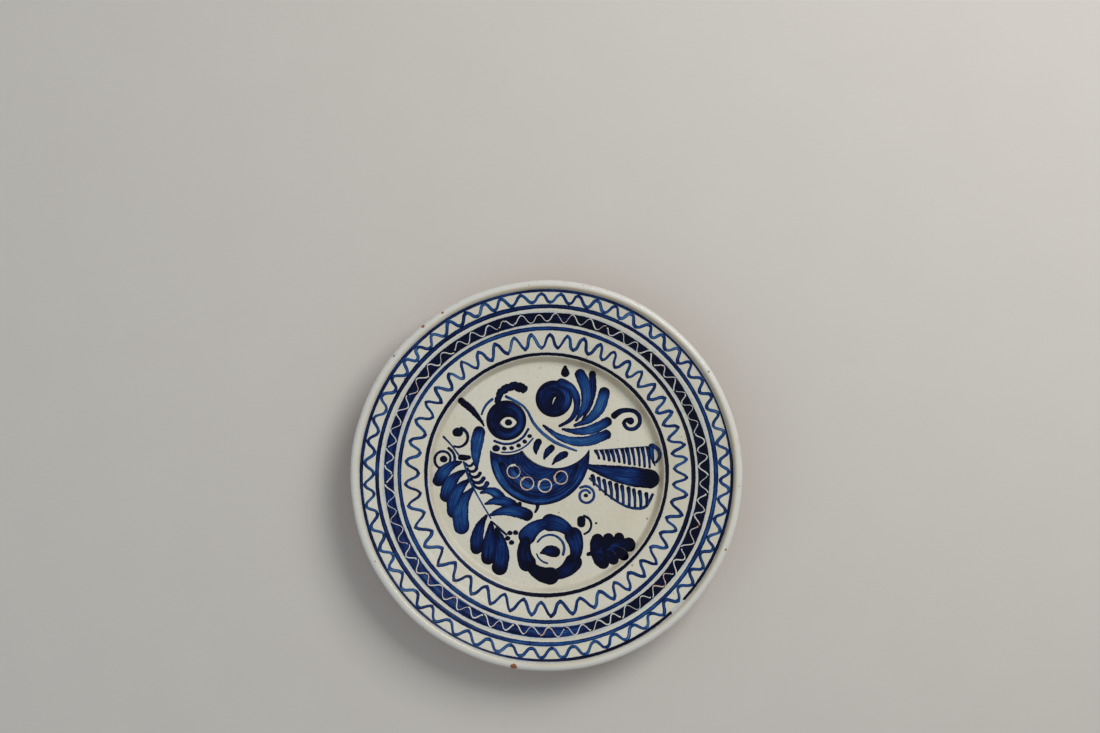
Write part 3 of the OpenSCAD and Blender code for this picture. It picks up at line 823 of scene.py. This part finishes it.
CLAY = clay_material()
SLIP = slip_material()
BLUE = cobalt_material("cobalt_blue", 0.0)
DARK = cobalt_material("cobalt_dark", 0.14)
BAND = cobalt_material("cobalt_band", 0.1, 0.8)
SCRATCH = scratch_material("scratched_slip", 0.45)
SCRATCH_DEEP = scratch_material("scratched_rings", 1.0)

settle(make_mesh("thrown_clay", *revolve(clay_section, SEGMENTS)), CLAY, ["clay_body"])
settle(make_mesh("slip_coat", *revolve(slip_section, SEGMENTS)), SLIP, ["white_slip"])


def painted(node, strokes, material=BLUE, lift=0.0):
    """Paints one CAD node's place with the strokes that a function lays down."""
    painting = Painting(lift)
    strokes(painting)
    slot = "cobalt_blue" if material is BLUE else "cobalt_dark"
    return painting.done(node + "_brushwork", material, slot, node)


def scratched(name, strokes, lift, material=SCRATCH):
    painting = Painting(lift)
    strokes(painting)
    return painting.done(name, material, "white_slip")


# ---- Rings and zigzags of the flange ----

# Angles, in degrees, at which the brush was fuller or drier
RIM_TONES = [(10, 0.62), (78, 0.42), (150, 0.55), (250, 0.5), (294, 0.85), (340, 0.66)]
OUTER_TONES = [(20, 0.46), (90, 0.62), (180, 0.6), (240, 0.6), (262, 0.36), (330, 0.4)]
INNER_TONES = [(0, 0.95), (48, 0.9), (60, 0.5), (180, 0.45), (300, 0.5), (350, 0.85)]
WELL_TONES = [(0, 0.95), (90, 0.9), (200, 0.6), (240, 0.55), (270, 0.95), (330, 0.9)]
BAND_TONES = [(60, 0.98), (130, 0.9), (180, 0.62), (280, 0.62), (300, 0.95)]

# The teeth aren't evenly spaced: some teeth by number, and the angle each came out at
RIM_RHYTHM = [(0, 1.5), (14, 86), (24, 147.5), (34, 218), (40, 261), (46, 303.5), (55, 361.5)]
WELL_RHYTHM = [(0, -1), (13, 88.5), (22, 157), (30, 228.5), (38, 298.5), (46, 359)]
BAND_RHYTHM = [(0, 0), (20, 124), (38, 243), (57, 360)]

painted("rim_line", lambda p: p.ring(RIM_LINE_R, 2.1, RIM_TONES, 318, 354, 0.35, 0.5))
painted("outer_line", lambda p: p.ring(OUTER_LINE_R, 2.8, OUTER_TONES, 262, 362, 0.4, 1.9))
painted("inner_line", lambda p: p.ring(INNER_LINE_R, 2.7, INNER_TONES, 352, 362, 0.45, 2.6))
painted("well_line", lambda p: p.ring(WELL_LINE_R, 2.4, WELL_TONES, 268, 363, 0.3, 0.2), DARK)
painted("rim_zigzag", lambda p: p.zigzag(RIM_RHYTHM, 114.6, 120.6, 2.3, 0.3, 0.5))
painted("well_zigzag", lambda p: p.zigzag(WELL_RHYTHM, 85.0, 93.6, 2.3, 0.33, 2.6))


def band_ring(p):
    middle = (BAND_IN_R + BAND_OUT_R) / 2
    p.ring(middle, BAND_OUT_R - BAND_IN_R, BAND_TONES, 285, 362, 0.35, 2.2)


def scratch_band(p):
    p.zigzag(BAND_RHYTHM, BAND_IN_R + 0.8, BAND_OUT_R - 0.9, 0.7, 0.5, 2.2, 0.7, 0.42, 0.4, 0.5)


painted("scratched_band", band_ring, BAND)
scratched("scratched_zigzag", scratch_band, 0.06)

# ---- The bird ----

HEAD_AT = np.array([-27.0, 36.0])
HEAD_R = 13.5
EYE_AT = np.array([-25.5, 34.6])
EYE_ARC_R = 5.8
EYE_ARC_SHIFT = 2.2
PUPIL_R = 2.3
COLLAR_LINE_R = 15.9
COLLAR_DOTS_R = 18.9
COLLAR_EDGE_R = 21.6
BODY_FROM_HEAD = 23.0
BELLY_AT = np.array([-4.5, 12.5])
BELLY_R = 33.5
WING_AT = np.array([6.0, 31.0])
WING_R = 27.0
BODY_RING_R = 4.4
BODY_RINGS_AT = 20.5


def arc(middle, radius, start, turn, count):
    return [tuple(middle + polar(radius, start + turn * i / count)) for i in range(count + 1)]


def crossing(c0, r0, c1, r1, sign):
    """One of the two points where two circles cross."""
    d = np.linalg.norm(c1 - c0)
    along = (r0**2 - r1**2 + d**2) / (2 * d)
    off = math.sqrt(r0**2 - along**2)
    way = (c1 - c0) / d
    return c0 + way * along + sign * off * np.array([-way[1], way[0]])


def bearing(c, p):
    return math.degrees(math.atan2(p[1] - c[1], p[0] - c[0]))


def arc_between(c, r, a, b, turn_sign, count):
    """Points of an arc from one point to another, leaving out its two ends."""
    start = bearing(c, a)
    turn = (bearing(c, b) - start) % 360
    if turn_sign < 0:
        turn -= 360
    return arc(c, r, start, turn, count)[1:-1]


def belly_outline():
    chest = crossing(BELLY_AT, BELLY_R, HEAD_AT, BODY_FROM_HEAD, 1)
    tip = crossing(BELLY_AT, BELLY_R, WING_AT, WING_R, -1)
    nape = crossing(HEAD_AT, BODY_FROM_HEAD, WING_AT, WING_R, -1)
    return (
        [tuple(chest)] + arc_between(BELLY_AT, BELLY_R, chest, tip, 1, 26)
        + [tuple(tip)] + arc_between(WING_AT, WING_R, tip, nape, -1, 14)
        + [tuple(nape)] + arc_between(HEAD_AT, BODY_FROM_HEAD, nape, chest, -1, 10)
    )


def eye_outline():
    """The white of the eye: a lens where two discs cross."""
    up = EYE_AT + [0, EYE_ARC_SHIFT]
    down = EYE_AT - [0, EYE_ARC_SHIFT]
    left = crossing(up, EYE_ARC_R, down, EYE_ARC_R, -1)
    right = crossing(up, EYE_ARC_R, down, EYE_ARC_R, 1)
    return (
        [tuple(left)] + arc_between(up, EYE_ARC_R, left, right, 1, 6)
        + [tuple(right)] + arc_between(down, EYE_ARC_R, right, left, 1, 6)
    )


def head(p):
    p.patch(arc(HEAD_AT, HEAD_R, 0, 345, 23), [eye_outline()], load=0.82, centre=HEAD_AT)
    p.curl(HEAD_AT, 9.9, 9.9, 95, -230, 4.2, 5.2, 0.5, 0.3)


def collar(p):
    p.curl(HEAD_AT, COLLAR_LINE_R, COLLAR_LINE_R, 240, 98, 1.8, 1.8, load=0.5)
    p.curl(HEAD_AT, COLLAR_EDGE_R, COLLAR_EDGE_R, 262, 64, 1.2, 1.2, load=0.3)
    p.dot(*(HEAD_AT + polar(20, 250)), 2.4)
    for i in range(5):
        p.dot(*(HEAD_AT + polar(COLLAR_DOTS_R, 266 + 15 * i)), 1.5)


# Strokes that model the belly's paint: radius, first angle, turn, width and how much colour
BELLY_STROKES = [
    (30.6, 352, -164, 5.6, 0.34),
    (26.2, 345, -150, 5.2, 0.5),
    (21.9, 336, -130, 5.0, 0.3),
    (17.5, 322, -112, 5.0, 0.46),
    (13.2, 300, -78, 4.4, 0.3),
]


def belly(p):
    p.patch(belly_outline(), load=0.62, centre=BELLY_AT)
    for r, start, turn, width, load in BELLY_STROKES:
        p.curl(BELLY_AT, r, r, start, turn, 2.4, width, load, 0.3)


def belly_rings(p):
    for i in range(4):
        middle = BELLY_AT + polar(BODY_RINGS_AT, 212 + 34 * i)
        p.curl(middle, BODY_RING_R + 0.3, BODY_RING_R - 0.4, 80 + 30 * i, 400, 0.9, 0.8)


def wing(p):
    for i in range(3):
        p.leaf((-7 + 5.5 * i, 13.5 - 3.5 * i), (-5 + 9.5 * i, 23.5 - 4.5 * i), 5, 0.8)


def feet(p):
    for x in (-18, -6):
        p.brush([(x, -20, 3.0), (x, -22.5, 2.4), (x - 1.5, -25.5, 1.6)], 0.7)


painted("bird_head", head, DARK)
painted("bird_eye", lambda p: p.dot(*EYE_AT, PUPIL_R, 0.9), DARK)
painted("bird_beak", lambda p: p.leaf((-42, 32.5), (-58.5, 50.5), 4.8, -1.2, 0.8), DARK, 0.05)
painted("bird_cheek", lambda p: p.curl(HEAD_AT, 17, 17, 166, -42, 1.5, 2.1, 0.35))
painted(
    "bird_crest",
    lambda p: p.curl((-23.5, 46.5), 9.6, 13.5, 165, -110, 4.6, 6.4, 0.8, rough=0.7),
    DARK,
    0.05,
)
painted("bird_throat", lambda p: p.leaf((-46.8, 4), (-45, 31.5), 8.8, 1.2, 0.5))
painted("bird_collar", collar)
BACK_LINE = [(-27, 52, 2.2), (-15, 45, 1.8), (-7, 32, 2.2), (5, 21.8, 2.4), (20, 15.6, 1.4)]
painted("bird_back", lambda p: p.brush(BACK_LINE, 0.3))
painted("bird_body", belly, DARK)
painted("wing_marks", wing, DARK)
painted("bird_feet", feet, DARK)
scratched("belly_rings", belly_rings, 0.07, SCRATCH_DEEP)

# ---- Crest scroll and plumes ----

SCROLL_AT = np.array([5.0, 50.5])
SCROLL_R = 12.4


def scroll(p):
    slit = [(6.4, 51.6), (5.6, 50.3), (4.9, 48.6), (4.0, 46.8), (4.4, 49.2), (5.3, 51.2)]
    p.patch(arc(SCROLL_AT, SCROLL_R, 0, 345, 23), [slit], load=0.82, centre=SCROLL_AT)
    p.curl(SCROLL_AT, 8.6, 9.2, 110, -160, 4.4, 5.4, 0.45, 0.3)
    p.curl((6, 49), 17, 12.4, -80, 150, 2, 7.5, load=0.55)


def plumes(p):
    p.leaf((24, 36), (31.2, 69), 5, -3, 0.75)
    p.leaf((20, 36), (23, 70), 8, -5.5, 0.45)
    p.leaf((19, 32.5), (41, 57), 8, -5, 0.45)
    p.leaf((11, 30), (43.5, 35.5), 6.8, -3.5, 0.5)
    p.leaf((-2, 32.5), (43, 26), 7, -7.5, 0.5)


painted("crest_scroll", scroll, DARK, 0.03)
painted("drop", lambda p: p.brush([(12.6, 71.8, 2.4), (12.6, 70, 4.6), (12.6, 68, 6)], 0.85), DARK)
painted("plumes", plumes)

# ---- Tail ----


def tail_top(p):
    p.brush([(32, 15.8, 0.8), (50, 17, 0.9), (68, 18.3, 1)], 0.4)
    p.bars((33.5, 14.8), (68, 17.4), (35.4, 10.5), (69.5, 4.4), 11, 2.2)
    p.leaf((73, 5.5), (70, 20), 3.6, 0.6, 0.5)
    p.curl((69.5, 12), 7.4, 6, 75, -120, 3, 1.8, 0.5)


def tail_bottom(p):
    p.brush([(29, -3, 1.4), (42, -14.8, 1.6), (55, -22.2, 1.9), (66, -22.4, 2.2), (71.4, -14, 2)], 0.45)
    p.bars((31, -2), (67, -13.5), (32, -7), (67.4, -21.6), 10, 2.2, 5)


painted("tail_top", tail_top)
painted("tail_feather", lambda p: p.leaf((28, 5.0), (75, -4.5), 13.5, -1, lambda t: 0.42 + 0.4 * t), DARK)
painted("tail_bottom", tail_bottom)

# ---- Curls ----


def curl_right(p):
    p.brush([(45.6, 39.2, 4.6), (48.3, 41.3, 4.2), (52, 42.7, 3.4), (56.5, 42.8, 3)], 0.7)
    p.curl((56.5, 35.4), 7.4, 4.6, 90, -250, 3, 2.6, 0.6)
    p.brush([(51.9, 34.2, 2.4), (53.6, 36, 3), (56.6, 35.6, 5)], 0.7)


def curl_belly(p):
    p.curl((26.5, -14.5), 6.4, 3.2, 125, -450, 1.9, 1.9, 0.36)
    p.dot(26.5, -14.5, 1.4)


def curl_low(p):
    p.brush([(23.4, -33.2, 5.6), (23.4, -31, 5.8)], 0.8)
    p.curl((23.8, -34), 6, 6.6, 75, -150, 1.9, 1.5, 0.6)
    p.dot(33.4, -33.1, 0.8)


def curl_left_top(p):
    p.dot(-59.6, 28, 3.3)
    p.curl((-59.2, 25), 6, 7, 70, -185, 2.5, 1.6, 0.6)


def curl_left(p):
    p.curl((-69, 10), 8, 4.4, 65, -440, 2.1, 1.8, 0.55)
    p.dot(-69, 10, 2.4)


painted("curl_right", curl_right, DARK)
painted("curl_belly", curl_belly)
painted("curl_low", curl_low, DARK)
painted("curl_left_top", curl_left_top, DARK)
painted("curl_left", curl_left, DARK)

# ---- Branch ----


def stem(p):
    p.brush([(-55.5, 8, 1.6), (-51.5, -4, 1.8), (-46, -15, 1.2), (-37.5, -29.5, 1.2)], 0.25)
    p.brush([(-36, -32.4, 1.2), (-31.5, -36.6, 1.7), (-27, -40.6, 1.7)], 0.6)
    p.brush([(-69, 25, 1.6), (-64, 19.6, 1.2), (-59, 13, 1.3)], 0.4)


def hooks(p):
    p.brush([(-57.5, 11.2, 4), (-54.5, 11, 4), (-52, 11.2, 2.8)], 0.8)
    for i in range(5):
        r = 2.6 + 0.6 * i
        p.curl((-51.8 + 1.8 * i, 8 - 3.15 * i), r, r, 200, 140, 1.6, 2 + 0.35 * i, 0.6)


def left_leaves(p):
    for i in range(4):
        base, tip = (-57.5 + 2.6 * i, 8 - 6 * i), (-75 + 5.6 * i, -6.4 - 11 * i)
        p.leaf(base, tip, 8.6 + 0.8 * i, -2.5 - 0.4 * i, lambda t: 0.6 - 0.2 * t)


def right_leaves(p):
    for i in range(3):
        base, tip = (-44 + 3.2 * i, -12.5 - 7.5 * i), (-27.6 + 9 * i, -17.4 - 5 * i)
        p.leaf(base, tip, 7 + 0.8 * i, 3, lambda t: 0.4 + 0.3 * t)


def low_leaves(p):
    for i in range(3):
        base, tip = (-40.5 + 3.5 * i, -28 - 4.5 * i), (-48 + 8.5 * i, -53 - 7 * i)
        p.leaf(base, tip, 8.8 + 1.2 * i, 2 * i - 2, 0.54)


BERRIES_AT = np.array([-22.5, -42.5])


def berries(p):
    for i in range(4):
        p.dot(*(BERRIES_AT + polar(3.6, 60 + 65 * i)), 1.7)


painted("stem", stem, lift=0.03)
painted("stem_hooks", hooks, DARK, 0.03)
painted("leaves_left", left_leaves)
painted("leaves_right", right_leaves)
painted("leaves_low", low_leaves, DARK)
painted("berries", berries, DARK)

# ---- Flower and lobed leaf ----

FLOWER_AT = np.array([2.5, -50.5])
# How much cobalt each petal's stroke carries
PETAL_LOADS = (0.46, 0.34, 0.3, 0.5, 0.8, 0.62)
PETAL_TURN = 360 / len(PETAL_LOADS)
LOBE_PAIRS = 3
LOBE_ANGLE = 54


def petals(p):
    for i, load in enumerate(PETAL_LOADS):
        p.curl(FLOWER_AT, 17.3, 17.9, PETAL_TURN * i - 20, 50, 7, 12, load, 0.4)


def flower_rings(p):
    p.curl(FLOWER_AT, 9.8, 9.4, 150, -172, 1.4, 2, 0.4)
    p.curl(FLOWER_AT, 9.6, 9.6, 200, 58, 1.2, 1.4, 0.35)


def lobed_leaf(p):
    start, tip = np.array([28.0, -54.0]), np.array([59.0, -46.5])
    aim = bearing(start, tip)
    for i in range(LOBE_PAIRS):
        for side in (-1, 1):
            root = start + (tip - start) * (0.08 + 0.25 * i)
            lobe = polar(13.5 - 1.6 * i, aim + side * LOBE_ANGLE)
            p.leaf(root, root + lobe, 8.4 - 0.5 * i, 0.0, 0.7)
    p.leaf(start, tip, 10, 0.0, 0.65)


painted("flower_petals", petals, DARK)
painted("flower_rings", flower_rings)
painted("flower_heart", lambda p: p.leaf(FLOWER_AT + [-6, -2.5], FLOWER_AT + [6.2, -1.5], 8, 1, 0.6), DARK)
painted("oak_leaf", lobed_leaf, DARK)

# ---- Floor, light and camera ----

FLOOR_SIZE = 24
PLATE_MIDDLE = (0, 0, 0)
# Each light's place, width, power in watts and colour
LIGHTS = {
    "key": ((0.75, 0.85, 1.15), 0.8, 15.5, (1.0, 0.98, 0.95)),
    "fill": ((-1.3, -0.5, 1.0), 1.6, 5.0, (0.82, 0.91, 1.0)),
}
WORLD_COLOR = (0.93, 0.94, 0.96, 1)
WORLD_STRENGTH = 0.3
CAMERA_AT = (-0.02, 0.06, 1.04)
CAMERA_AIM = (0.002, 0.072, 0.030)
LENS = 50
SENSOR_WIDTH = 36


def make_floor():
    bpy.ops.mesh.primitive_plane_add(size=FLOOR_SIZE, location=(0, 0, 0))
    floor = bpy.context.object
    floor.name = "floor"
    n = Nodes("pale_floor")
    grain = n.noise(n.place(), 0.02, 4.0)
    n.finish(n.mix(grain, srgb(213, 210, 203), srgb(209, 205, 199)), 0.65, n.bump(grain, 0.05, 0.001), 0.2)
    floor.data.materials.append(n.material)


def add_light(name, place, size, power, color):
    data = bpy.data.lights.new(name, "AREA")
    data.size = size
    data.energy = power
    data.color = color
    light = bpy.data.objects.new(name, data)
    light.location = place
    light.rotation_euler = (Vector(PLATE_MIDDLE) - Vector(place)).to_track_quat("-Z", "Y").to_euler()
    bpy.context.scene.collection.objects.link(light)


def light_scene():
    for name, light in LIGHTS.items():
        add_light(name, *light)
    world = bpy.data.worlds.new("studio")
    world.use_nodes = True
    background = world.node_tree.nodes["Background"]
    background.inputs["Color"].default_value = WORLD_COLOR
    background.inputs["Strength"].default_value = WORLD_STRENGTH
    bpy.context.scene.world = world


def set_camera():
    """Looks down on the face as the eye meets a plate that leans against a wall, from a metre away."""
    data = bpy.data.cameras.new("camera")
    data.lens = LENS
    data.sensor_width = SENSOR_WIDTH
    camera = bpy.data.objects.new("camera", data)
    eye = Vector(CAMERA_AT)
    forward = (Vector(CAMERA_AIM) - eye).normalized()
    right = forward.cross(Vector((0, 1, 0))).normalized()
    axes = Matrix((right, right.cross(forward), -forward)).transposed()
    camera.matrix_world = Matrix.Translation(eye) @ axes.to_4x4()
    bpy.context.scene.collection.objects.link(camera)
    bpy.context.scene.camera = camera


make_floor()
light_scene()
set_camera()
bpy.context.scene.view_settings.view_transform = "Standard"
